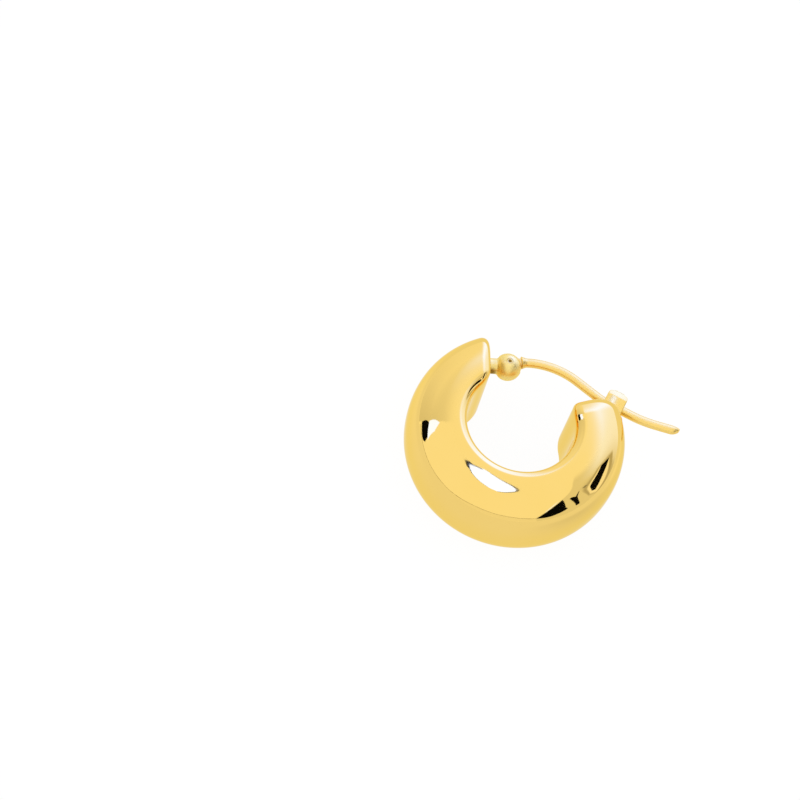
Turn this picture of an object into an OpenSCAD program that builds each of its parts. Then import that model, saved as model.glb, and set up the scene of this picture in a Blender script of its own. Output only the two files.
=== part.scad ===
// Creole hoop earring, one of a pair, lying on its side.
// Sizes are in millimetres and degrees. The hoop's axis is vertical, its gap is at +Y,
// the hinge is to the left of the gap and the catch to the right, seen from above.
// The hoop, its hinge ball and its catch are soldered up as one solid.

/* [Hoop] */
// Outside diameter of the ring
outer_d = 20; // [16:0.5:30]
// Diameter of the space inside the ring
inner_d = 9.8; // [8:0.1:18]
// Width of the band along the ring's axis
band_w = 8.46; // [4:0.02:12]
// Fullness of the dome towards its crown: 2 is an ellipse, higher is flatter
dome_power = 3.1; // [2:0.1:5]
// Fullness of the dome towards the band's sides, on the same scale
side_power = 2.4; // [2:0.1:5]
// Radius of the two inside rims
rim_r = 0.8; // [0.2:0.05:1]
// How far the closed ends draw in as their edges round over
end_r = 0.75; // [0.1:0.05:1]
// Length of that rounding along the band
end_back = 0.85; // [0.1:0.05:1.5]
// Angle from the top to the outer corner of the catch end
gap_catch_out = 42.6; // [20:0.1:60]
// Angle from the top to the inner corner of the catch end
gap_catch_in = 37.5; // [20:0.1:60]
// Angle from the top to the outer corner of the hinge end
gap_hinge_out = 42; // [20:1:60]
// Angle from the top to the inner corner of the hinge end
gap_hinge_in = 60; // [30:0.5:80]

/* [Hinge] */
// Diameter of the hinge ball
ball_d = 2.55; // [2:0.05:4]
// From the hinge end's outer corner inwards to the hinge
hinge_down = 2.17; // [1:0.01:4]
// From the face of the hinge end out to the hinge
hinge_out = 2.24; // [1.6:0.02:4]
// Diameter of the neck that joins the ball to the hoop
neck_d = 1.1; // [0.8:0.1:1.6]
// Diameter of the rivet
pin_d = 0.6; // [0.4:0.05:0.9]
// Gap all round the rivet in the ball
pin_gap = 0.01; // [0.005:0.005:0.03]
// Running gap all round the rivet in the wire's eye
eye_gap = 0.03; // [0.01:0.01:0.1]
// Gap on each side of the eye in the ball's slot
slot_gap = 0.05; // [0.02:0.01:0.1]
// How far the wire swings open
swing = 90; // [60:5:100]

/* [Ear wire] */
// Diameter of the round wire
wire_d = 0.85; // [0.6:0.05:1.2]
// Thickness of the flattened eye
eye_t = 0.6; // [0.4:0.05:0.8]
// Width of metal round the rivet in the eye
eye_rim = 0.57; // [0.4:0.01:0.7]
// Distance from the rivet's centre to the wire's centre line
wire_off = 0.42; // [0:0.01:0.6]
// How far outside the ball the flattened start becomes round
tail_out = 0.1; // [0.05:0.05:0.5]
// Direction of the wire as it leaves the ball, above level
rise_a = 32.2; // [10:0.1:60]
// Direction at the arch's far end, below level
fall_a = 12.5; // [5:0.5:30]
// Radius of the bend before the catch
bend_r = 3; // [1:0.5:6]
// Direction through the catch, below level
lay_a = 0.5; // [0:0.5:10]
// Straight length past the catch
lay_out = 0.8; // [0.2:0.05:2]
// Radius of the tail past the catch
tail_r = 11; // [6:0.5:30]
// Direction at the end of that curve, above level
tip_a = 12.5; // [0:0.5:20]
// Straight length before the point
tip_l = 1.4; // [0.5:0.05:3]
// Length of the point
point_l = 0.9; // [0.4:0.05:1.5]
// Diameter at the very end
point_d = 0.3; // [0.1:0.05:0.5]

/* [Catch] */
// Width of the catch along the wire
catch_w = 1.9; // [1.2:0.05:3]
// Thickness of the catch's strip
catch_t = 0.35; // [0.2:0.05:0.6]
// From the tip of the hoop sideways to the middle of the catch
catch_side = -0.25; // [-0.8:0.05:0.8]
// Gap on each side of the wire in the catch, and under it
catch_gap = 0.05; // [0.02:0.01:0.15]
// How deep the strip's underside is soldered into the tip of the hoop
seat = 0.01; // [0:0.01:0.4]
// Height of the front wall above the catch's floor
front_h = 1.14; // [0.6:0.02:2]
// Height of the back wall above the catch's floor
back_h = 2.72; // [1:0.02:4]
// Radius of the back wall's corners
back_r = 0.55; // [0.1:0.05:0.9]
// Depth of the solder foot under the strip
foot_h = 0.6; // [0.3:0.05:1]
// Width of the solder foot
foot_w = 1.2; // [0.6:0.05:1.6]

/* [Hidden] */
$fn = 96;
ro = outer_d / 2;
ri = inner_d / 2;
hw = band_w / 2;
n_dome = 10;
n_rim = 4;
n_wall = 4;
n_turn = 76;
n_end = 4;
eps = 0.02;
flat_end = 0.06;
sunk = 0.02;
thinner = 0.008;
end_fillet = min(end_r, rim_r - eps);

function dir(a) = [cos(a), sin(a)];
function nrm(a) = [-sin(a), cos(a)];
function cross2(a, b) = a[0] * b[1] - a[1] * b[0];

// The hinge stands off the middle of the hinge end
hinge_corner = ro * nrm(gap_hinge_out);
hinge_inner = ri * nrm(gap_hinge_in);
end_up = (hinge_corner - hinge_inner) / norm(hinge_corner - hinge_inner);
end_face = [end_up[1], -end_up[0]];
hinge = hinge_corner - hinge_down * end_up + hinge_out * end_face;
neck_a = atan2(end_up[0], -end_up[1]);
neck_l = hinge_out + end_back;
mid_a = rise_a + swing / 2 + 15;
eye_d = pin_d + 2 * eye_gap + 2 * eye_rim;
eye_reach = max(eye_d / 2, wire_off + wire_d / 2);

// The catch stands on the tip of the catch end, the highest place of its rounded edge
crown = [for (k = [0 : n_end]) at(ro - inset(k), catch_angle(ro - inset(k), setback(k)), 0)];
tip_y = max([for (c = crown) c[1]]);
tip = [for (c = crown) if (c[1] == tip_y) c][0];
catch_x0 = tip[0] + catch_side - catch_w / 2;
catch_x1 = catch_x0 + catch_w;
floor_y = tip[1] - seat + catch_t;
wall_in = wire_d / 2 + catch_gap;
wall_out = wall_in + catch_t;

// Centre line of the wire: a flattened start, a long arch, a straight, a small bend,
// a straight through the catch, a gentle curve and a straight with a point
lay_l = catch_w + lay_out;
w0 = hinge + wire_off * nrm(rise_a);
tail_l = ball_d / 2 + tail_out;
w1 = w0 + tail_l * dir(rise_a);
w4 = [catch_x0, floor_y + catch_gap + wire_d / 2 + lay_l * sin(lay_a)];
bend = bend_r * (nrm(-fall_a) - nrm(-lay_a));
// The arch's radius and the straight after it are the two that carry the wire to the catch
arch_v = nrm(-fall_a) - nrm(rise_a);
fall_v = dir(-fall_a);
reach = w4 - w1 - bend;
arch_r = cross2(reach, fall_v) / cross2(arch_v, fall_v);
fall_l = cross2(arch_v, reach) / cross2(arch_v, fall_v);
c_arch = w1 - arch_r * nrm(rise_a);
w2 = c_arch + arch_r * nrm(-fall_a);
w3 = w2 + fall_l * dir(-fall_a);
c_bend = w3 + bend_r * nrm(-fall_a);
w5 = w4 + lay_l * dir(-lay_a);
c_tail = w5 + tail_r * nrm(-lay_a);
w6 = c_tail - tail_r * nrm(tip_a);
w7 = w6 + tip_l * dir(tip_a);
w8 = w7 + point_l * dir(tip_a);

// The box round the whole earring sits with the middle of its underside at the origin
box_x1 = max(ro, w8[0] + point_d / 2 * sin(tip_a));
box_y1 = max(ro, floor_y + back_h);
shift = [(ro - box_x1) / 2, (ro - box_y1) / 2, hw];

// Half of the band's outline as [radius, height, outward direction], domed side then rim
dome_a = ro - ri - rim_r;
function dome_pt(t) =
    let (x = pow(cos(t), 2 / dome_power), y = pow(sin(t), 2 / side_power),
         gx = dome_power * pow(x, dome_power - 1) / dome_a,
         gy = side_power * pow(y, side_power - 1) / hw,
         g = sqrt(gx * gx + gy * gy))
    [ri + rim_r + dome_a * x, hw * y, gx / g, gy / g];
function rim_pt(t) =
    [ri + rim_r + rim_r * cos(t), hw - rim_r + rim_r * sin(t), cos(t), sin(t)];
half = concat([for (i = [0 : n_dome]) dome_pt(90 * i / n_dome)],
              [for (i = [1 : n_rim]) rim_pt(90 + 90 * i / n_rim)]);
wall = [for (i = [1 : n_wall - 1]) [ri, (hw - rim_r) * (1 - 2 * i / n_wall), -1, 0]];
outline = concat(half, wall,
                 [for (i = [len(half) - 1 : -1 : 1])
                     [half[i][0], -half[i][1], half[i][2], -half[i][3]]]);
m = len(outline);

// Angle from the bottom at which the circle of radius r meets an end plane set back by o
function end_angle(r, o, g_out, g_in) =
    let (a = ro * [-sin(g_out), cos(g_out)], b = ri * [-sin(g_in), cos(g_in)],
         u = (a - b) / norm(a - b), q = [u[1], -u[0]], d = a * q)
    180 - atan2(q[1], q[0]) - asin((o - d) / r);
function hinge_angle(r, o) = end_angle(r, o, gap_hinge_out, gap_hinge_in);
function catch_angle(r, o) = -end_angle(r, o, gap_catch_out, gap_catch_in);
function at(r, t, z) = [-r * sin(t), -r * cos(t), z];

// Points of ring k of a rounded end: the outline shrinks as it nears the end plane
function inset(k) = end_fillet * (1 - cos(90 * k / n_end));
function setback(k) = end_back * (1 - sin(90 * k / n_end));
function in_r(p, k) = p[0] - p[2] * inset(k);
function in_z(p, k) = p[1] - p[3] * inset(k);
catch_rings = [for (k = [n_end : -1 : 1], p = outline)
    at(in_r(p, k), catch_angle(in_r(p, k), setback(k)), in_z(p, k))];
turn_rings = [for (i = [0 : n_turn], p = outline)
    let (s = i / n_turn)
    at(p[0], catch_angle(p[0], end_back) * (1 - s) + hinge_angle(p[0], end_back) * s, p[1])];
hinge_rings = [for (k = [1 : n_end], p = outline)
    at(in_r(p, k), hinge_angle(in_r(p, k), setback(k)), in_z(p, k))];
hoop_points = concat(catch_rings, turn_rings, hinge_rings);
n_rings = n_turn + 1 + 2 * n_end;
side_faces = [for (i = [0 : n_rings - 2], j = [0 : m - 1], h = [0, 1])
    let (a = i * m + j, b = i * m + (j + 1) % m)
    h == 0 ? [a, a + m, b + m] : [a, b + m, b]];
end_faces = [[for (j = [0 : m - 1]) j],
             [for (j = [m - 1 : -1 : 0]) (n_rings - 1) * m + j]];

module band() {
    polyhedron(points = hoop_points, faces = concat(side_faces, end_faces), convexity = 6);
}

module slot() {
    translate([0, 0, -eye_t / 2 - slot_gap])
        cylinder(r = eye_reach + slot_gap + eps, h = eye_t + 2 * slot_gap);
    rotate(mid_a)
        translate([0, -ball_d, -eye_t / 2 - slot_gap])
            cube([ball_d, 2 * ball_d, eye_t + 2 * slot_gap]);
}

module ball() {
    translate([hinge[0], hinge[1], 0])
        difference() {
            union() {
                sphere(d = ball_d);
                rotate(neck_a)
                    rotate([0, 90, 0])
                        cylinder(d = neck_d, h = neck_l);
            }
            slot();
            cylinder(r = pin_d / 2 + pin_gap, h = 2 * ball_d, center = true);
        }
}

module plate(y, z, h, t) {
    translate([catch_x0, y, z])
        cube([catch_w, h, t]);
}

module back_wall() {
    plate(floor_y - catch_t, -wall_out, back_h + catch_t - back_r, catch_t);
    translate([catch_x0 + back_r, floor_y - catch_t, -wall_out])
        cube([catch_w - 2 * back_r, back_h + catch_t, catch_t]);
    for (x = [catch_x0 + back_r, catch_x1 - back_r])
        translate([x, floor_y + back_h - back_r, -wall_out])
            cylinder(r = back_r, h = catch_t);
}

module clasp() {
    back_wall();
    plate(floor_y - catch_t, -wall_out, catch_t, 2 * wall_out);
    plate(floor_y - catch_t, wall_in, front_h + catch_t, catch_t);
    translate([tip[0] - foot_w / 2, floor_y - catch_t - foot_h, -foot_w / 2])
        cube([foot_w, foot_h + catch_t / 2, foot_w]);
}

module hoop() {
    color("gold")
        translate(shift)
            union() {
                band();
                ball();
                clasp();
            }
}

// A round straight from p in direction a
module rod(p, a, l) {
    translate([p[0], p[1], 0])
        rotate(a)
            rotate([0, 90, 0])
                cylinder(d = wire_d, h = l);
}

// A round curve about c from angle a0 through a, a hair thinner than the straights
// and sunk a hair into them at both ends so that all join as one solid
module curve(c, r, a0, a) {
    more = sunk / r * 180 / PI;
    translate([c[0], c[1], 0])
        rotate(a0 - more)
            rotate_extrude(angle = a + 2 * more)
                translate([r, 0])
                    circle(d = wire_d - thinner);
}

// The wire's start, flattened on both sides where it runs in the ball's slot
module flat_tail() {
    difference() {
        rod(w0, rise_a, tail_l);
        for (z = [eye_t / 2, -eye_t / 2 - wire_d])
            translate([w0[0], w0[1], z])
                rotate(rise_a)
                    translate([-wire_d, -wire_d, 0])
                        cube([wire_d + tail_l - flat_end, 2 * wire_d, wire_d]);
    }
}

module ear_wire() {
    color("gold")
        translate(shift)
            difference() {
                union() {
                    translate([hinge[0], hinge[1], -eye_t / 2])
                        cylinder(d = eye_d, h = eye_t);
                    flat_tail();
                    curve(c_arch, arch_r, 90 - fall_a, rise_a + fall_a);
                    rod(w2, -fall_a, fall_l);
                    curve(c_bend, bend_r, -90 - fall_a, fall_a - lay_a);
                    rod(w4, -lay_a, lay_l);
                    curve(c_tail, tail_r, -90 - lay_a, lay_a + tip_a);
                    rod(w6, tip_a, tip_l);
                    translate([w7[0], w7[1], 0])
                        rotate(tip_a)
                            translate([-sunk, 0, 0])
                                rotate([0, 90, 0])
                                    cylinder(d1 = wire_d - thinner, d2 = point_d,
                                             h = point_l + sunk);
                }
                translate([hinge[0], hinge[1], -eye_t])
                    cylinder(r = pin_d / 2 + eye_gap, h = 2 * eye_t);
            }
}

module hinge_pin() {
    pin_l = 2 * sqrt(ball_d * ball_d / 4 - pin_d * pin_d / 4) - eps;
    color("gold")
        translate(shift)
            translate([hinge[0], hinge[1], -pin_l / 2])
                cylinder(d = pin_d, h = pin_l);
}

hoop();
ear_wire();
hinge_pin();
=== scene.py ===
"""The looks of a creole hoop earring: a wide domed band of polished gold, its hinge ball, its
catch, its rivet and its bent ear wire, on a pale light table. Sizes are in millimetres here and
are turned into metres as each mesh is made."""

import math

import bmesh
import bpy
import numpy as np
from mathutils import Matrix, Vector


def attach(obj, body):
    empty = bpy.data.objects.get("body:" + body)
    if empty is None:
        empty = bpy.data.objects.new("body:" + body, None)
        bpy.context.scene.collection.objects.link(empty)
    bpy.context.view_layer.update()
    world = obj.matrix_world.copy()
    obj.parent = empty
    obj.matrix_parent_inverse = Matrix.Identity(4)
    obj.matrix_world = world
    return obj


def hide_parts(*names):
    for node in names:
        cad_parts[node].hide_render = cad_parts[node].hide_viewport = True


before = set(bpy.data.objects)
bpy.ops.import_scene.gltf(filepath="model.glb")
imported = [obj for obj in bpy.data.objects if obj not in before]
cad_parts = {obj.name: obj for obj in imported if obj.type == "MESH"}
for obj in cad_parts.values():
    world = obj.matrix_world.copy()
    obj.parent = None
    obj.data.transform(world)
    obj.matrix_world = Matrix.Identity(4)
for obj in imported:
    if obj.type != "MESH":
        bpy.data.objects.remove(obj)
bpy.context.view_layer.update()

MM = 0.001

# The band, as in the part's source, but with a rounder catch end
OUTER_R, INNER_R, HALF_W = 10.0, 4.9, 4.23
DOME_POWER, SIDE_POWER, RIM_R = 3.1, 2.4, 0.8
END_IN, END_BACK = 0.75, 0.85
CATCH_END_IN, CATCH_END_BACK, CATCH_END_DRAW = 0.45, 1.8, 0.34
GAP_CATCH, GAP_HINGE = (39.8, 34.2), (42.0, 60.0)
CENTRE = np.array([-1.52144, -0.050475, HALF_W])

# The hinge, as in the part's source, but with a thicker neck, which flares at its foot and swells
# into the ball, more room in the slot, rounded edges, and a dimple in each end of the rivet, as
# rows of radius and depth
HINGE = np.array([-3.72391, 6.47174])
NECK_A, NECK_R, BALL_R, HINGE_OUT = -153.831, 0.72, 1.275, 2.24
FOOT_DEEP, FLARE, NECK_MID, FILLET, FILLET_L, FILLET_POWER = 0.25, 0.45, 1.6, 0.26, 0.36, 2.4
PIN_R, PIN_GAP, PIN_EDGE, PIN_SET = 0.3, 0.01, 0.05, 0.01
DIMPLE = ((0.17, 0), (0.13, 0.03), (0.09, 0.07), (0.05, 0.1), (0.02, 0.11))
EYE_T, EYE_R, EYE_GAP, EYE_EDGE, HOLE_EDGE = 0.6, 0.9, 0.03, 0.12, 0.03
SLOT_GAP, SLOT_ROOM, SLOT_A, SLOT_L = 0.05, 0.08, 92.2, 3
CUT_EDGE = 0.035

# The wire, as in the part's source, but with a swelling where it leaves the ball and a point that
# leans to one side
WIRE_R, WIRE_OFF, TAIL_L = 0.425, 0.42, 1.375
RISE_A, FALL_A, LAY_A, TIP_A = 32.2, -12.5, -0.5, 12.5
ARCH_R, FALL_L, BEND_R, LAY_L, TAIL_R, TIP_L = 7.11842, 2.47397, 3.0, 2.7, 11.0, 1.4
ROUND_FROM, ROUND_L, SWELL, SWELL_RISE, SWELL_L, SWELL_POWER = 0.03, 0.03, 0.17, 0.05, 0.5, 1.3
POINT_L, POINT_R, POINT_POWER, POINT_SIDE, POINT_LAST = 0.9, 0.15, 2.4, 0.55, 0.45

# The catch, as in the part's source, but with leaning walls and a mound of solder for its foot
CATCH_X, CATCH_W, CATCH_T, CATCH_GAP = 6.53822, 1.9, 0.35, 0.05
CATCH_BEND, CATCH_EDGE, FRONT_LEAN, BACK_LEAN = 0.3, 0.07, 5.2, 7.0
TIP_X, FLOOR_Y, FRONT_H, BACK_H, BACK_R = 6.78822, 7.38095, 1.14, 2.72, 0.55
MOUND_X, MOUND_Y, MOUND_R = TIP_X + 0.1, FLOOR_Y - 0.62, (1.05, 0.5, 0.95)

# The studio: the table and the sheet of painted table shade just over it in millimetres, and the
# cards' distance in metres
TABLE_HALF, SHADE_SHEET_Z, SHADE_SHEET_TONE = 900, 0.02, 0.88
CARD_FAR, CORNER_STEPS, CARD_ROWS = 2.0, 8, 13
BLACK = (0.003, 0.003, 0.003)

# The camera: the picture's width, the focal length and how far the ring's middle lies right of and
# above the picture's middle, all in pixels, and the distance in metres
FRAME, FOCAL, RING_RIGHT, RING_UP, DISTANCE = 800, 1677.5, 114.0, -39.6, 0.1524


def surface(name, grid, around=True, ends=(True, True), material=None):
    """A mesh from a grid of points [rows, columns, xyz] in millimetres. Each cell is a quad,
    columns close round when around is set, and an end row is closed by a fan to its middle."""
    rows, cols = grid.shape[:2]
    points = grid.reshape(-1, 3)
    i, j = np.meshgrid(np.arange(rows - 1), np.arange(cols if around else cols - 1), indexing="ij")
    k = (j + 1) % cols
    quads = np.stack([i * cols + j, i * cols + k, (i + 1) * cols + k, (i + 1) * cols + j], -1)
    faces = [tuple(q) for q in quads.reshape(-1, 4).tolist()]
    for want, row, turn in ((ends[0], 0, 1), (ends[1], rows - 1, -1)):
        if want:
            middle = len(points)
            points = np.vstack([points, grid[row].mean(0)])
            ring = [row * cols + c for c in range(cols)][::turn]
            faces += [(ring[(c + 1) % cols], ring[c], middle) for c in range(cols)]
    mesh = bpy.data.meshes.new(name)
    mesh.from_pydata((points * MM).tolist(), [], faces)
    mesh.validate()
    mesh.polygons.foreach_set("use_smooth", np.ones(len(mesh.polygons), bool))
    piece = bpy.data.objects.new(name, mesh)
    bpy.context.scene.collection.objects.link(piece)
    if material:
        mesh.materials.append(material)
    return piece


def volume(piece):
    """The signed volume inside a closed mesh: a sixth of the sum of its triangles' box products."""
    mesh = piece.data
    mesh.calc_loop_triangles()
    co = np.empty(len(mesh.vertices) * 3)
    mesh.vertices.foreach_get("co", co)
    tri = np.empty(len(mesh.loop_triangles) * 3, int)
    mesh.loop_triangles.foreach_get("vertices", tri)
    a, b, c = co.reshape(-1, 3)[tri.reshape(-1, 3)].transpose(1, 0, 2)
    return float(np.einsum("ij,ij->i", a, np.cross(b, c)).sum() / 6)


def outward(piece):
    """Turns a closed piece's faces outwards where its signed volume says they point in."""
    if volume(piece) < 0:
        piece.data.flip_normals()
    return piece


def even_rows(rows, n):
    """The same open outline with n rows, spread evenly over its length and its turning together."""
    step = np.linalg.norm(np.diff(rows[:, :2], axis=0), axis=1)
    turn = np.linalg.norm(np.diff(rows[:, 2:], axis=0), axis=1)
    run = np.concatenate([[0], np.cumsum(step / step.sum() + turn / turn.sum())])
    want = np.linspace(0, run[-1], n)
    rows = np.stack([np.interp(want, run, column) for column in rows.T], -1)
    rows[:, 2:] /= np.linalg.norm(rows[:, 2:], axis=1, keepdims=True)
    return rows


def band_outline(n_dome=64, n_rim=14, n_wall=12, n_fine=4001):
    """The band's cross-section as rows of radius, height, and the direction out of the metal. The
    domed side is a superellipse, x^p + y^q = 1, from the crown to the side of the band, then a
    quarter circle rounds the inside rim, and a straight wall closes the inside."""
    t = np.linspace(0, math.pi / 2, n_fine)
    x, y = np.cos(t).clip(0) ** (2 / DOME_POWER), np.sin(t).clip(0) ** (2 / SIDE_POWER)
    reach = OUTER_R - INNER_R - RIM_R
    gx = DOME_POWER * x ** (DOME_POWER - 1) / reach
    gy = SIDE_POWER * y ** (SIDE_POWER - 1) / HALF_W
    g = np.hypot(gx, gy)
    dome = np.stack([INNER_R + RIM_R + reach * x, HALF_W * y, gx / g, gy / g], -1)
    t = np.linspace(math.pi / 2, math.pi, n_rim + 1)[1:]
    c, s = np.cos(t), np.sin(t)
    rim = np.stack([INNER_R + RIM_R * (1 + c), HALF_W - RIM_R * (1 - s), c, s], -1)
    half = np.vstack([even_rows(dome, n_dome + 1), rim])
    z = np.linspace(1, -1, n_wall + 1)[1:-1] * (HALF_W - RIM_R)
    wall = np.stack([np.full_like(z, INNER_R), z, -np.ones_like(z), np.zeros_like(z)], -1)
    low = half[:0:-1] * [1, -1, 1, -1]
    return np.vstack([half, wall, low])


def end_angle(r, back, gap):
    """The angle from the bottom at which the circle of radius r meets an end plane moved back
    along its normal. The plane holds the ring's axis direction and the end's two corners, which
    lie at the gap's outer and inner angle from the top."""
    out_a, in_a = np.radians(gap)
    a = OUTER_R * np.array([-math.sin(out_a), math.cos(out_a)])
    b = INNER_R * np.array([-math.sin(in_a), math.cos(in_a)])
    u = (a - b) / np.linalg.norm(a - b)
    normal = np.array([u[1], -u[0]])
    return math.pi - math.atan2(normal[1], normal[0]) - np.arcsin((back - a @ normal) / r)


def ring_points(r, angle, z):
    """Points on circles about the ring's axis, at an angle from the bottom."""
    return np.stack([-r * np.sin(angle), -r * np.cos(angle), z], -1) + CENTRE


def band(material, n_end=19, n_round=281, caps=(0.6, 0.96)):
    """The hoop: the outline carried round the ring from the catch end to the hinge end. At each
    end the outline shrinks and moves forward along a quarter ellipse, which rounds the edge, and
    smaller copies of the last ring keep the closing face flat. The catch end is rounder: its
    outline also draws in towards its own middle."""
    r, z, nr, nz = band_outline().T
    middle = (OUTER_R + INNER_R) / 2

    def ring(a, s):
        """One ring of points: a is the step along the end's quarter ellipse, from a right angle
        at the very end to nothing, and s runs from 0 at the catch to 1 at the hinge."""
        k = 1 - math.cos(a)
        draw = CATCH_END_DRAW * k * (1 - s)
        off = (CATCH_END_IN * (1 - s) + END_IN * s) * k
        rr, zz = r - nr * off - (r - middle) * draw, z - nz * off - z * draw
        catch = -end_angle(rr, CATCH_END_BACK * (1 - math.sin(a)), GAP_CATCH)
        hinge = end_angle(rr, END_BACK * (1 - math.sin(a)), GAP_HINGE)
        return ring_points(rr, catch * (1 - s) + hinge * s, zz)

    t = np.linspace(math.pi / 2, 0, n_end)
    rings = [ring(a, 0.0) for a in t]
    rings += [ring(0.0, s) for s in np.linspace(0, 1, n_round)[1:-1]]
    rings += [ring(a, 1.0) for a in t[::-1]]
    first, last = rings[0], rings[-1]
    before = [first.mean(0) + (first - first.mean(0)) * k for k in caps]
    after = [last.mean(0) + (last - last.mean(0)) * k for k in caps[::-1]]
    return outward(surface("polished_band", np.stack(before + rings + after), material=material))


def heading(a):
    """The direction at an angle above level, in the plane of the ring."""
    a = math.radians(a)
    return np.array([math.cos(a), math.sin(a)])


def left_of(a):
    """A quarter turn to the left of that direction."""
    a = math.radians(a)
    return np.array([-math.sin(a), math.cos(a)])


def wire_line():
    """The wire's centre line: a straight, a long arch, a straight, a small bend, a straight
    through the catch, a gentle curve and a straight. Each step is a straight's length, or a
    turn's signed radius and the angle it ends at, and then a count of rows. The rows give place,
    direction in degrees and length so far."""
    here = HINGE + WIRE_OFF * left_of(RISE_A)
    a, out = RISE_A, []
    for kind, *size, n in (("go", TAIL_L, 55), ("turn", -ARCH_R, FALL_A, 90), ("go", FALL_L, 10),
                           ("turn", BEND_R, LAY_A, 12), ("go", LAY_L, 14),
                           ("turn", TAIL_R, TIP_A, 24), ("go", TIP_L, 12)):
        if kind == "go":
            s = np.linspace(0, size[0], n + 1)
            out.append(np.column_stack([here + s[:, None] * heading(a), np.full(len(s), a)]))
            here = here + size[0] * heading(a)
        else:
            r, to = size
            side = math.copysign(1, r)
            middle = here + abs(r) * side * left_of(a)
            turn = np.linspace(a, to, n + 1)
            pts = np.array([middle - abs(r) * side * left_of(h) for h in turn])
            out.append(np.column_stack([pts, turn]))
            here, a = pts[-1], to
    rows = np.vstack([out[0]] + [o[1:] for o in out[1:]])
    steps = np.linalg.norm(np.diff(rows[:, :2], axis=0), axis=1)
    return np.column_stack([rows, np.concatenate([[0], np.cumsum(steps)])])


def tube_rows(line, radius, flat, n_side=40):
    """Circles across a line in the ring's plane, each cut down to flat on the near and far side."""
    t = np.linspace(0, 2 * math.pi, n_side, endpoint=False)
    a = np.radians(line[:, 2])
    across = np.stack([-np.sin(a), np.cos(a)], -1)
    side = radius[:, None] * np.cos(t)
    height = np.clip(radius[:, None] * np.sin(t), -flat[:, None], flat[:, None])
    xy = line[:, None, :2] + side[..., None] * across[:, None]
    return np.concatenate([xy, height[..., None]], -1) + CENTRE


def ear_wire(material, n_point=14):
    """The wire: a round tube along its centre line, flattened where it runs in the ball, swollen
    a little where it leaves it, with a rounded point that leans to one side, and a flat eye with
    a soft edge and a hole for the rivet."""
    line = wire_line()
    end = line[-1]
    t = np.linspace(0, 1, n_point + 1)[1:]
    point = np.stack([end[0] + POINT_L * t * heading(TIP_A)[0],
                      end[1] + POINT_L * t * heading(TIP_A)[1],
                      np.full(n_point, TIP_A), end[3] + POINT_L * t], -1)
    whole = np.vstack([line, point])
    radius = np.full(len(whole), WIRE_R)
    tip = slice(len(line), None)
    radius[tip] = POINT_R + (WIRE_R - POINT_R) * (1 - t ** POINT_POWER)
    radius[-1] *= POINT_LAST
    whole[tip, :2] += POINT_SIDE * (WIRE_R - radius[tip, None]) * left_of(TIP_A)
    out = whole[:, 3] - BALL_R - ROUND_FROM
    rise = np.clip(out / SWELL_RISE, 0, 1)
    fall = np.clip((out - SWELL_RISE) / SWELL_L, 0, 1)
    radius += SWELL * rise * (1 - fall) ** SWELL_POWER
    half = EYE_T / 2
    flat = half + (radius - half) * np.clip(out / ROUND_L, 0, 1)
    wire = outward(surface("ear_wire_bent", tube_rows(whole, radius, flat), material=material))
    join(wire, outward(eye_disc("ear_wire_eye", material)), "UNION")
    ends = [-half - 0.1, half + 0.1]
    join(wire, turned("hole", [PIN_R + EYE_GAP] * 2, ends, HINGE), "DIFFERENCE")
    return wire


def eye_disc(name, material, n=96):
    """A flat ring about the hinge, a closed profile turned round the rivet: flat faces, a rounded
    outer edge and a hole."""
    h, e, hole, he = EYE_T / 2, EYE_EDGE, PIN_R + EYE_GAP, HOLE_EDGE
    t = np.linspace(0, math.pi / 2, 6)
    edge_r, edge_z = EYE_R - e + e * np.cos(t), h - e + e * np.sin(t)
    r = np.concatenate([[hole], [hole + he], edge_r[::-1], edge_r, [hole + he], [hole]])
    z = np.concatenate([[h - he], [h], edge_z[::-1], -edge_z, [-h], [-h + he]])
    a = np.linspace(0, 2 * math.pi, n + 1)[:-1]
    grid = np.stack([HINGE[0] + r * np.cos(a)[:, None], HINGE[1] + r * np.sin(a)[:, None],
                     np.broadcast_to(z, (n, len(z)))], -1) + CENTRE
    grid = np.concatenate([grid, grid[:1]])
    piece = surface(name, grid, ends=(False, False), material=material)
    weld(piece)
    return piece


def weld(piece, gap=1e-7):
    """Merges points that lie on each other, and removes what is left with no area."""
    work = bmesh.new()
    work.from_mesh(piece.data)
    bmesh.ops.remove_doubles(work, verts=work.verts, dist=gap)
    bmesh.ops.dissolve_degenerate(work, edges=work.edges, dist=gap)
    work.to_mesh(piece.data)
    work.free()


def join(piece, other, how):
    """Unites a piece with another, or cuts the other out of it, and keeps the result."""
    mod = piece.modifiers.new("cut", "BOOLEAN")
    mod.operation, mod.object, mod.solver = how, other, "EXACT"
    bake(piece)
    bpy.data.objects.remove(other)


def bake(piece):
    """Applies a piece's modifiers to its mesh."""
    bpy.context.view_layer.update()
    shape = piece.evaluated_get(bpy.context.evaluated_depsgraph_get())
    mesh = bpy.data.meshes.new_from_object(shape)
    old = piece.data
    piece.modifiers.clear()
    piece.data = mesh
    bpy.data.meshes.remove(old)


def soften(piece, width, segments=3, angle=35):
    """Rounds a cut piece's sharp edges, and shades it smooth with the true flat faces kept."""
    mod = piece.modifiers.new("edges", "BEVEL")
    mod.width, mod.segments, mod.limit_method = width * MM, segments, "ANGLE"
    mod.angle_limit = math.radians(angle)
    mod.harden_normals = mod.use_clamp_overlap = True
    bake(piece)


def box(name, low, high):
    """A plain cutter box between two corners, in millimetres."""
    x, y, z = zip(low, high)
    ring = [(x[0], y[0]), (x[1], y[0]), (x[1], y[1]), (x[0], y[1])]
    grid = np.array([[(a, b, c) for a, b in ring] for c in z], float)
    return outward(surface(name, grid))


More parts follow.
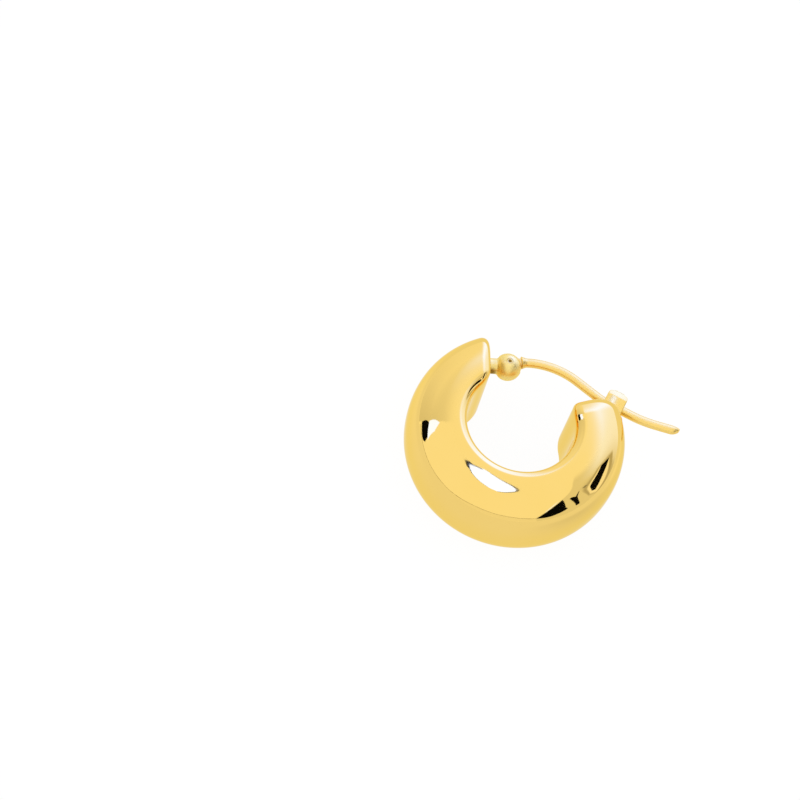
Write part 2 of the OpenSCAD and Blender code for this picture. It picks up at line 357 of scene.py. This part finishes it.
def turned(name, r, z, at, n=96, material=None):
    """A closed piece turned round an upright line: circles of radius r at heights z."""
    a = np.linspace(0, 2 * math.pi, n, endpoint=False)
    r, z = np.asarray(r, float)[:, None], np.asarray(z, float)[:, None]
    grid = np.stack([at[0] + r * np.cos(a), at[1] + r * np.sin(a), z + 0 * a], -1) + CENTRE
    return outward(surface(name, grid, material=material))


def hinge_ball(material, n=96):
    """The ball on its neck: one profile turned round the neck's line. It flares like solder where
    it meets the hoop's end, runs along the neck, and swells by a small fillet into the sphere.
    Then the slot and the rivet's hole are cut."""
    t = np.linspace(0, math.pi / 2, 9)
    foot_x = np.concatenate([[-HINGE_OUT - FOOT_DEEP], -HINGE_OUT + FLARE * (1 - np.cos(t))])
    foot_r = np.concatenate([[NECK_R + FLARE], NECK_R + FLARE * (1 - np.sin(t))])
    start = math.pi - math.asin((NECK_R + FILLET) / BALL_R)
    arc = np.linspace(start, 0, 60)[:-1]
    ball_x, ball_r = BALL_R * np.cos(arc), BALL_R * np.sin(arc)
    s = np.linspace(0, 1, 8)[1:-1]
    fillet_x = ball_x[0] - FILLET_L * (1 - s)
    fillet_r = NECK_R + FILLET * s ** FILLET_POWER
    x = np.concatenate([foot_x, [-NECK_MID], fillet_x, ball_x])
    r = np.concatenate([foot_r, [NECK_R], fillet_r, ball_r])[:, None]
    a = np.linspace(0, 2 * math.pi, n, endpoint=False)
    u, v = heading(NECK_A + 180), left_of(NECK_A + 180)
    xy = HINGE + x[:, None, None] * u + (r * np.cos(a))[..., None] * v
    grid = np.concatenate([xy, (r * np.sin(a))[..., None]], -1) + CENTRE
    piece = outward(surface("hinge_ball", grid, material=material))
    half = EYE_T / 2 + SLOT_GAP
    room = EYE_R + SLOT_GAP + SLOT_ROOM
    join(piece, turned("pocket", [room] * 2, [-half, half], HINGE), "DIFFERENCE")
    place = Matrix.Translation(Vector(np.append(HINGE, 0) + CENTRE) * MM)
    cut = box("slot", (0, -SLOT_L, -half), (SLOT_L, SLOT_L, half))
    cut.data.transform(place @ Matrix.Rotation(math.radians(SLOT_A), 4, "Z"))
    join(piece, cut, "DIFFERENCE")
    join(piece, turned("hole", [PIN_R + PIN_GAP] * 2, [-2, 2], HINGE), "DIFFERENCE")
    soften(piece, CUT_EDGE)
    return piece


def rivet(material):
    """The rivet: a round pin whose two ends are set flush with the ball, each with a rounded edge
    and a small punched dimple."""
    top = math.sqrt(BALL_R ** 2 - PIN_R ** 2) - PIN_SET
    t = np.linspace(0, math.pi / 2, 6)
    dimple_r, deep = np.array(DIMPLE).T
    r = np.concatenate([PIN_R - PIN_EDGE + PIN_EDGE * np.cos(t), dimple_r])
    z = np.concatenate([top - PIN_EDGE + PIN_EDGE * np.sin(t), top - deep])
    r, z = np.concatenate([r[::-1], r]), np.concatenate([z[::-1], -z])
    return turned("rivet", r, z, HINGE, material=material)


def catch(material):
    """The open catch: a strip with rounded edges carried down the front wall, along the floor and
    up the back wall. Both walls lean out a little, and the back wall's top corners are quarter
    circles. A mound of solder, an ellipsoid, holds its floor to the hoop's end."""
    half_t, bend, edge = CATCH_T / 2, CATCH_BEND, CATCH_EDGE
    z_mid, y_mid = WIRE_R + CATCH_GAP + half_t, FLOOR_Y - half_t
    top = FLOOR_Y + BACK_H - BACK_R
    t = np.linspace(0, math.pi / 2, 9)[1:]
    rise = np.linspace(0, math.pi / 2, 13)[1:]
    front = np.linspace(FLOOR_Y + FRONT_H - edge, y_mid + bend, 14)
    back = np.concatenate([np.linspace(y_mid + bend, top, 14)[1:],
                           top + (BACK_R - edge) * np.sin(rise)])
    early, late = bend * (1 - np.sin(t)), bend * (1 - np.cos(t))
    y = np.concatenate([front, y_mid + early, y_mid + late, back])
    z = np.concatenate([0 * front + z_mid, z_mid - late, -z_mid + early, 0 * back - z_mid])
    turn = np.concatenate([0 * front, t, t + math.pi / 2, 0 * back + math.pi])
    wide = np.full(len(y), CATCH_W / 2)
    wide[-len(rise):] -= (BACK_R - edge) * (1 - np.cos(rise))
    q = np.linspace(0, math.pi / 2, 5)
    around = np.concatenate([q, q + math.pi / 2, q + math.pi, q + 1.5 * math.pi])
    side, face = np.repeat([1, -1, -1, 1], 5), np.repeat([1, 1, -1, -1], 5)

    def strip(row, shrink, lift):
        """One outline of the strip, a rounded rectangle. At the strip's two ends it is shrunk and
        moved up, which rounds the ends."""
        across = side * (wide[row] - edge) + (edge - shrink) * np.cos(around)
        deep = face * (half_t - edge) + (edge - shrink) * np.sin(around)
        up, out = -math.sin(turn[row]), math.cos(turn[row])
        return np.stack([CATCH_X + across, y[row] + lift + deep * up, z[row] + deep * out], -1)

    caps = [(edge * (1 - math.cos(a)), edge * math.sin(a)) for a in q[1:]]
    grid = np.stack([strip(0, *c) for c in caps[::-1]] + [strip(k, 0, 0) for k in range(len(y))]
                    + [strip(-1, *c) for c in caps])
    lean = np.tan(np.radians(np.where(grid[..., 2] > 0, FRONT_LEAN, -BACK_LEAN)))
    grid[..., 2] += lean * (grid[..., 1] - FLOOR_Y).clip(0)
    piece = outward(surface("open_catch", grid + CENTRE, material=material))
    a, b = np.meshgrid(np.linspace(0.02, math.pi - 0.02, 25),
                       np.linspace(0, 2 * math.pi, 49)[:-1], indexing="ij")
    mound = np.stack([MOUND_X + MOUND_R[0] * np.sin(a) * np.cos(b),
                      MOUND_Y + MOUND_R[1] * np.cos(a),
                      MOUND_R[2] * np.sin(a) * np.sin(b)], -1)
    join(piece, outward(surface("solder_mound", mound + CENTRE)), "UNION")
    return piece


def gold(name, rough, tint_low, tint_high, bump_height=0.02):
    """Pale yellow gold: a metal with faint cloudy changes between two tints, and of its gloss by
    three tenths either way, and very fine polishing lines in its bump."""
    material = bpy.data.materials.new(name)
    material.use_nodes = True
    nodes, links = material.node_tree.nodes, material.node_tree.links
    shader = nodes["Principled BSDF"]
    shader.inputs["Metallic"].default_value = 1.0
    shader.inputs["IOR"].default_value = 1.5
    shader.inputs["Specular Tint"].default_value = (1.0, 0.9, 0.55, 1)
    place = nodes.new("ShaderNodeTexCoord")
    cloud = nodes.new("ShaderNodeTexNoise")
    cloud.inputs["Scale"].default_value = 260
    cloud.inputs["Detail"].default_value = 3
    links.new(place.outputs["Object"], cloud.inputs["Vector"])
    tint = nodes.new("ShaderNodeMix")
    tint.data_type = "RGBA"
    tint.inputs["A"].default_value = (*tint_low, 1)
    tint.inputs["B"].default_value = (*tint_high, 1)
    links.new(cloud.outputs["Fac"], tint.inputs["Factor"])
    links.new(tint.outputs["Result"], shader.inputs["Base Color"])
    gloss = nodes.new("ShaderNodeMapRange")
    gloss.inputs["To Min"].default_value = rough * 0.7
    gloss.inputs["To Max"].default_value = rough * 1.3
    links.new(cloud.outputs["Fac"], gloss.inputs["Value"])
    links.new(gloss.outputs["Result"], shader.inputs["Roughness"])
    stretch = nodes.new("ShaderNodeMapping")
    stretch.inputs["Scale"].default_value = (1, 1, 14)
    links.new(place.outputs["Object"], stretch.inputs["Vector"])
    lines = nodes.new("ShaderNodeTexNoise")
    lines.inputs["Scale"].default_value = 2600
    lines.inputs["Detail"].default_value = 2
    links.new(stretch.outputs["Vector"], lines.inputs["Vector"])
    bump = nodes.new("ShaderNodeBump")
    bump.inputs["Strength"].default_value = bump_height
    bump.inputs["Distance"].default_value = 0.00001
    links.new(lines.outputs["Fac"], bump.inputs["Height"])
    links.new(bump.outputs["Normal"], shader.inputs["Normal"])
    return material


def paint_shade_spot(material, spot, reach, tone):
    """Paints shade into a gold round one spot, in millimetres: the tint is multiplied by a tone
    that fades out over the reach."""
    nodes, links = material.node_tree.nodes, material.node_tree.links
    shader = nodes["Principled BSDF"]
    place = nodes.new("ShaderNodeTexCoord")
    away = nodes.new("ShaderNodeVectorMath")
    away.operation = "DISTANCE"
    away.inputs[1].default_value = tuple((np.array(spot) + CENTRE) * MM)
    links.new(place.outputs["Object"], away.inputs[0])
    fade = nodes.new("ShaderNodeMapRange")
    fade.interpolation_type = "SMOOTHSTEP"
    fade.inputs["From Min"].default_value = 0.3 * reach * MM
    fade.inputs["From Max"].default_value = reach * MM
    fade.inputs["To Min"].default_value = 1
    fade.inputs["To Max"].default_value = 0
    links.new(away.outputs["Value"], fade.inputs["Value"])
    dark = nodes.new("ShaderNodeMix")
    dark.data_type, dark.blend_type = "RGBA", "MULTIPLY"
    dark.inputs["B"].default_value = (*tone, 1)
    links.new(fade.outputs["Result"], dark.inputs["Factor"])
    links.new(shader.inputs["Base Color"].links[0].from_socket, dark.inputs["A"])
    links.new(dark.outputs["Result"], shader.inputs["Base Color"])


def flat_sheet(name, z):
    """A square sheet that lies level at height z, far larger than the earring."""
    h = TABLE_HALF
    grid = np.array([[(-h, -h, z), (h, -h, z)], [(-h, h, z), (h, h, z)]], float)
    return surface(name, grid, around=False, ends=(False, False))


def light_table():
    """A pale table, lit from below so that it is nearly white and holds hardly any shadow."""
    table = flat_sheet("pale_table", 0)
    material = bpy.data.materials.new("pale_table")
    material.use_nodes = True
    shader = material.node_tree.nodes["Principled BSDF"]
    shader.inputs["Base Color"].default_value = (0.06, 0.06, 0.06, 1)
    shader.inputs["Roughness"].default_value = 0.9
    shader.inputs["Specular IOR Level"].default_value = 0.0
    shader.inputs["Emission Color"].default_value = (1, 1, 1, 1)
    shader.inputs["Emission Strength"].default_value = 0.95
    table.data.materials.append(material)


def plain_light(name):
    """A material of nothing but light, with its nodes, its links and the light."""
    material = bpy.data.materials.new(name)
    material.use_nodes = True
    nodes = material.node_tree.nodes
    nodes.remove(nodes["Principled BSDF"])
    return material, nodes, material.node_tree.links, nodes.new("ShaderNodeEmission")


def mirrored_table_shade():
    """The table round the earring as the gold mirrors it, in painted shade: a greyer sheet just
    over the table that only the gold sees. Its light is even, a shade darker to the right in front
    and lighter at both sides. Each shade is a spot's place, its reach in millimetres and the change
    of light at its middle."""
    sheet = flat_sheet("mirrored_table_shade", SHADE_SHEET_Z)
    material, nodes, links, light = plain_light("mirrored_table_shade")
    place = nodes.new("ShaderNodeTexCoord")
    total = None
    for x, y, reach, change in ((22, -7, 17, -0.12), (-26, 2, 26, 0.07), (27, 16, 15, 0.1)):
        away = nodes.new("ShaderNodeVectorMath")
        away.operation = "DISTANCE"
        away.inputs[1].default_value = (x * MM, y * MM, 0)
        links.new(place.outputs["Object"], away.inputs[0])
        spot = nodes.new("ShaderNodeMapRange")
        spot.interpolation_type = "SMOOTHSTEP"
        spot.inputs["From Min"].default_value = reach * MM
        spot.inputs["From Max"].default_value = 0
        spot.inputs["To Max"].default_value = change
        links.new(away.outputs["Value"], spot.inputs["Value"])
        add = nodes.new("ShaderNodeMath")
        add.operation = "ADD"
        links.new(spot.outputs["Result"], add.inputs[0])
        if total:
            links.new(total, add.inputs[1])
        else:
            add.inputs[1].default_value = SHADE_SHEET_TONE
        total = add.outputs[0]
    links.new(total, light.inputs["Strength"])
    links.new(light.outputs[0], nodes["Material Output"].inputs["Surface"])
    sheet.data.materials.append(material)
    unseen(sheet)


def unseen(piece):
    """Hides a studio piece from all but the gold that mirrors it."""
    piece.visible_camera = piece.visible_diffuse = piece.visible_shadow = False
    piece.visible_transmission = piece.visible_volume_scatter = False


def tent():
    """Even white light from everywhere above the table."""
    world = bpy.data.worlds.new("tent")
    bpy.context.scene.world = world
    world.use_nodes = True
    light = world.node_tree.nodes["Background"]
    light.inputs["Color"].default_value = (1, 1, 1, 1)
    light.inputs["Strength"].default_value = 1.0


def aimed(corners, n):
    """Directions along a row of corners, each given by azimuth and elevation in degrees, with n
    steps from corner to corner on a smooth cubic curve through them all."""
    a, e = np.radians(np.array(corners, float)).T
    d = np.stack([np.cos(e) * np.cos(a), np.cos(e) * np.sin(a), np.sin(e)], -1)
    d = np.vstack([2 * d[0] - d[1], d, 2 * d[-1] - d[-2]])
    t = np.linspace(0, 1, n, endpoint=False)[:, None]
    steps = [(2 * q + (r - p) * t + (2 * p - 5 * q + 4 * r - s) * t ** 2
              + (3 * q - p - 3 * r + s) * t ** 3) / 2
             for p, q, r, s in zip(d, d[1:], d[2:], d[3:])]
    return np.vstack(steps + [d[-2:-1]])


def card(name, upper, lower, tone, soft=(0, 0, 0, 0), far=CARD_FAR):
    """A card or lamp of the tent, seen only as the gold mirrors it: a sheet stretched between two
    rows of corners, round the earring at a distance of far metres. Its tone is its light, a lone
    number for a grey, and soft gives the share of it that fades at its start, its end, its lower
    and its upper edge. A lone elevation in place of the lower row takes the upper row's
    azimuths."""
    if not isinstance(lower, list):
        lower = [(a, lower) for a, e in upper]
    if not isinstance(tone, tuple):
        tone = (tone,) * 3
    up, low = aimed(upper, CORNER_STEPS), aimed(lower, CORNER_STEPS)
    v = np.linspace(0, 1, CARD_ROWS)
    grid = low[:, None] * (1 - v[:, None]) + up[:, None] * v[:, None]
    grid *= far / MM / np.linalg.norm(grid, axis=-1, keepdims=True)
    piece = surface(name, grid + CENTRE, around=False, ends=(False, False),
                    material=fading(name, tone, soft))
    uv = piece.data.uv_layers.new(name="card")
    at = np.empty(len(piece.data.loops), int)
    piece.data.loops.foreach_get("vertex_index", at)
    spots = np.stack([at // len(v) / (len(grid) - 1), at % len(v) / (len(v) - 1)], -1)
    uv.data.foreach_set("uv", spots.ravel())
    unseen(piece)


def fading(name, tone, soft):
    """Plain light that turns clear towards the edges: the product of one smooth step a side."""
    material, nodes, links, light = plain_light(name)
    light.inputs["Color"].default_value = (*tone, 1)
    end = nodes["Material Output"]
    if not any(soft):
        links.new(light.outputs[0], end.inputs["Surface"])
        return material
    place = nodes.new("ShaderNodeUVMap")
    place.uv_map = "card"
    parts = nodes.new("ShaderNodeSeparateXYZ")
    links.new(place.outputs["UV"], parts.inputs[0])
    last = None
    for axis, start, width in zip("XXYY", (0, 1, 0, 1), soft):
        if not width:
            continue
        step = nodes.new("ShaderNodeMapRange")
        step.interpolation_type = "SMOOTHSTEP"
        step.inputs["From Min"].default_value = start
        step.inputs["From Max"].default_value = start + (width if start == 0 else -width)
        links.new(parts.outputs[axis], step.inputs["Value"])
        if last:
            both = nodes.new("ShaderNodeMath")
            both.operation = "MULTIPLY"
            links.new(last, both.inputs[0])
            links.new(step.outputs["Result"], both.inputs[1])
            last = both.outputs[0]
        else:
            last = step.outputs["Result"]
    clear = nodes.new("ShaderNodeBsdfTransparent")
    mix = nodes.new("ShaderNodeMixShader")
    links.new(last, mix.inputs[0])
    links.new(clear.outputs[0], mix.inputs[1])
    links.new(light.outputs[0], mix.inputs[2])
    links.new(mix.outputs[0], end.inputs["Surface"])
    return material


def studio():
    """The cards and lamps round the table, given by azimuth and elevation. Daylight lamps are
    bluer than the tent, so the gold mirrors them as white; black cards give it its dark accents.
    A card at a lesser distance stands in front of the others."""
    rim = [(-175, 8), (-162, 5), (-150, 2.4), (-141, 1), (-129, 0.8), (-117, 1.5), (-104, 6),
           (-92, 10.5), (-77, 12.3), (-63, 13.3), (-50, 12), (-41, 10.3)]
    wall = [(183, 38), (176, 50), (163, 54.5), (149, 60.8), (132, 63.8), (118, 64.2),
            (108, 63.3), (100, 62)]
    card("table_far_side", rim, 0.1, 0.9)
    card("table_rim", [(a, e + 0.7) for a, e in rim], [(a, e - 0.5) for a, e in rim],
         (0.35, 0.32, 0.28), far=1.9)
    card("shaded_wall", [(-42, 14), (-27, 36), (-4, 53), (19, 60), (52, 65), (75, 64)],
         [(-42, 0.1), (-27, 0.1), (-4, 0.1), (19, 0.1), (40, 0.1), (52, 0.1)], 0.8,
         (0, 0.2, 0, 0.01))
    card("darker_patch", [(10, 52), (25, 54), (42, 50)], [(10, 0.1), (25, 0.1), (38, 0.1)], 0.62,
         (0.3, 0.3, 0, 0.2), 1.95)
    card("olive_wall", wall, 0.1, 0.97, (0, 0.12, 0, 0.01))
    card("olive_top", wall[1:], 43, 0.83, (0, 0.5, 0.9, 0.01), 1.97)
    card("olive_depth", wall[:6], 0.1, 0.74, (0, 0.95, 0, 0.01), 1.95)
    card("big_lamp", [(58, 61), (72, 61.5), (90, 62), (108, 61.5), (122, 61)], 0.1,
         (1.02, 1.4, 4.4), (0.5, 0.5, 0, 0.25), 1.9)
    card("lamp_spill", [(28, 62), (45, 63), (65, 64), (90, 63)], 0.1, (1.0, 1.16, 2.2),
         (0.6, 0.4, 0, 0.25), 1.92)
    card("wedge", [(-42, 10.3), (-35, 24), (-26, 36.4), (-16, 45.4), (-4, 52)],
         [(-42, 10.1), (-31, 9.3), (-16, 16.2), (-15, 25), (-12, 36)], BLACK, far=1.8)
    card("wedge_light", [(-34, 28), (-27, 39), (-4, 57)], [(-34, 25), (-27, 36), (-4, 53)],
         (1.0, 1.2, 2.6), (0.3, 0.3, 0.3, 0.5), 1.7)
    card("forked_card", [(2, 38), (-2, 28), (-5, 12)], [(-5, 37), (-6.5, 28), (-8.5, 12)], BLACK,
         far=1.8)
    card("fork_left", [(1, 46), (2, 38)], [(-2, 45), (-5, 37)], BLACK, far=1.8)
    card("fork_right", [(12.5, 48), (5.5, 42), (2, 38)], [(9, 46.5), (2, 41), (-2, 36)], BLACK,
         far=1.8)
    card("small_card", [(16, 48), (20, 48)], [(15, 44), (19, 44)], 0.3, far=1.8)
    card("sliver", [(9, 20), (16, 36.5), (37.5, 42)], [(11, 13), (25, 24), (38, 27)], BLACK,
         far=1.8)
    card("sliver_light", [(5, 14), (13, 40), (40, 45)], [(9, 2), (24, 8), (38, 24)],
         (1.0, 1.0, 1.1), (0.1, 0.1, 0.15, 0.1), 1.84)
    card("sliver_shade", [(3, 12), (10, 44), (42, 49)], [(8, 0.1), (27, 2), (43, 20)],
         (0.5, 0.48, 0.44), (0.15, 0.1, 0.1, 0.1), 1.86)
    card("side_block", [(183, 13), (178, 39), (190, 37)], [(184, 12), (196, 8), (199, 15)], BLACK,
         far=1.8)
    card("side_lamp", [(176, 40), (146, 62)], [(197, 26), (176, 53)], (1.03, 1.43, 4.6), far=1.7)
    front = [(97, 65), (86, 72), (74, 77.5), (60, 84), (20, 88.5)]
    behind = [(109, 71), (123, 77.5), (137, 83), (149, 88)]
    card("top_lamp", front, [(97, 65)] + behind, (1.05, 1.5, 5.2), far=1.7)
    card("top_lamp_rim", [(98, 66)] + behind,
         [(98.6, 66), (110, 70.9), (124, 77.2), (138.5, 82.8), (153, 87.8)], BLACK, far=1.65)
    card("top_lamp_corner", [(103, 68), (109, 71), (118, 75.2)],
         [(104, 67.8), (111.6, 70.6), (120.5, 74.6)], BLACK, far=1.65)
    card("top_lamp_edge", [(97, 64.8), (84.5, 71.8), (72, 77.2), (56, 83.7), (10, 88)], front,
         0.25, far=1.65)


def camera():
    """The photograph's view: the ring's axis leans 28.6 degrees from the line of sight, and the
    top of the ring points up and to the right. The optical axis passes through the middle of the
    frame, and the ring lies right of it and a little below."""
    right = Vector((0.88784, 0.42081, 0.18618))
    up = Vector((-0.45827, 0.77193, 0.44058))
    back = Vector((0.04169, -0.47649, 0.87819))
    line = Vector((RING_RIGHT / FOCAL, RING_UP / FOCAL, -1)).normalized()
    turn = line.rotation_difference(Vector((0, 0, -1))).to_matrix()
    axes = Matrix((right, up, back)).transposed() @ turn
    data = bpy.data.cameras.new("camera")
    data.sensor_width = 36
    data.lens = FOCAL * data.sensor_width / FRAME
    data.clip_start, data.clip_end = 0.005, 20
    eye = bpy.data.objects.new("camera", data)
    place = Vector(CENTRE) * MM + back * DISTANCE
    eye.matrix_world = Matrix.Translation(place) @ axes.to_4x4()
    bpy.context.scene.collection.objects.link(eye)
    bpy.context.scene.camera = eye


bpy.context.scene.view_settings.view_transform = "Standard"
camera()
tent()
light_table()
# A sheet of painted table shade, which only the gold mirrors
mirrored_table_shade()
studio()

polished = gold("polished_gold", 0.035, (0.975, 0.685, 0.190), (0.985, 0.705, 0.215))
drawn = gold("drawn_gold_wire", 0.33, (0.965, 0.680, 0.190), (0.975, 0.700, 0.215), 0.05)
# The ball's and the rivet's gold is paler than the band's: painted light, standing in for the
# ball's whiter reflections
cast = gold("cast_gold", 0.42, (0.985, 0.770, 0.260), (0.990, 0.785, 0.290), 0.05)
filed = gold("filed_gold", 0.15, (0.975, 0.690, 0.190), (0.985, 0.710, 0.215), 0.04)

# Painted shade in the corner below the neck, and painted shade inside the rivet's upper dimple
below_neck = HINGE + NECK_MID * heading(NECK_A) + 0.8 * left_of(NECK_A)
paint_shade_spot(cast, (*below_neck, 0.1), 0.7, (0.3, 0.22, 0.1))
paint_shade_spot(cast, (*HINGE, BALL_R - 0.1), 0.28, (0.4, 0.3, 0.15))

ring = band(polished)
ball = hinge_ball(cast)
clip = catch(filed)
pin = rivet(cast)
wire = ear_wire(drawn)

for piece in (ring, ball, clip):
    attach(piece, "hoop_body")
    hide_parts("hoop")
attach(pin, "hoop_body")
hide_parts("hinge_pin")
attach(wire, "wire_body")
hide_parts("ear_wire")
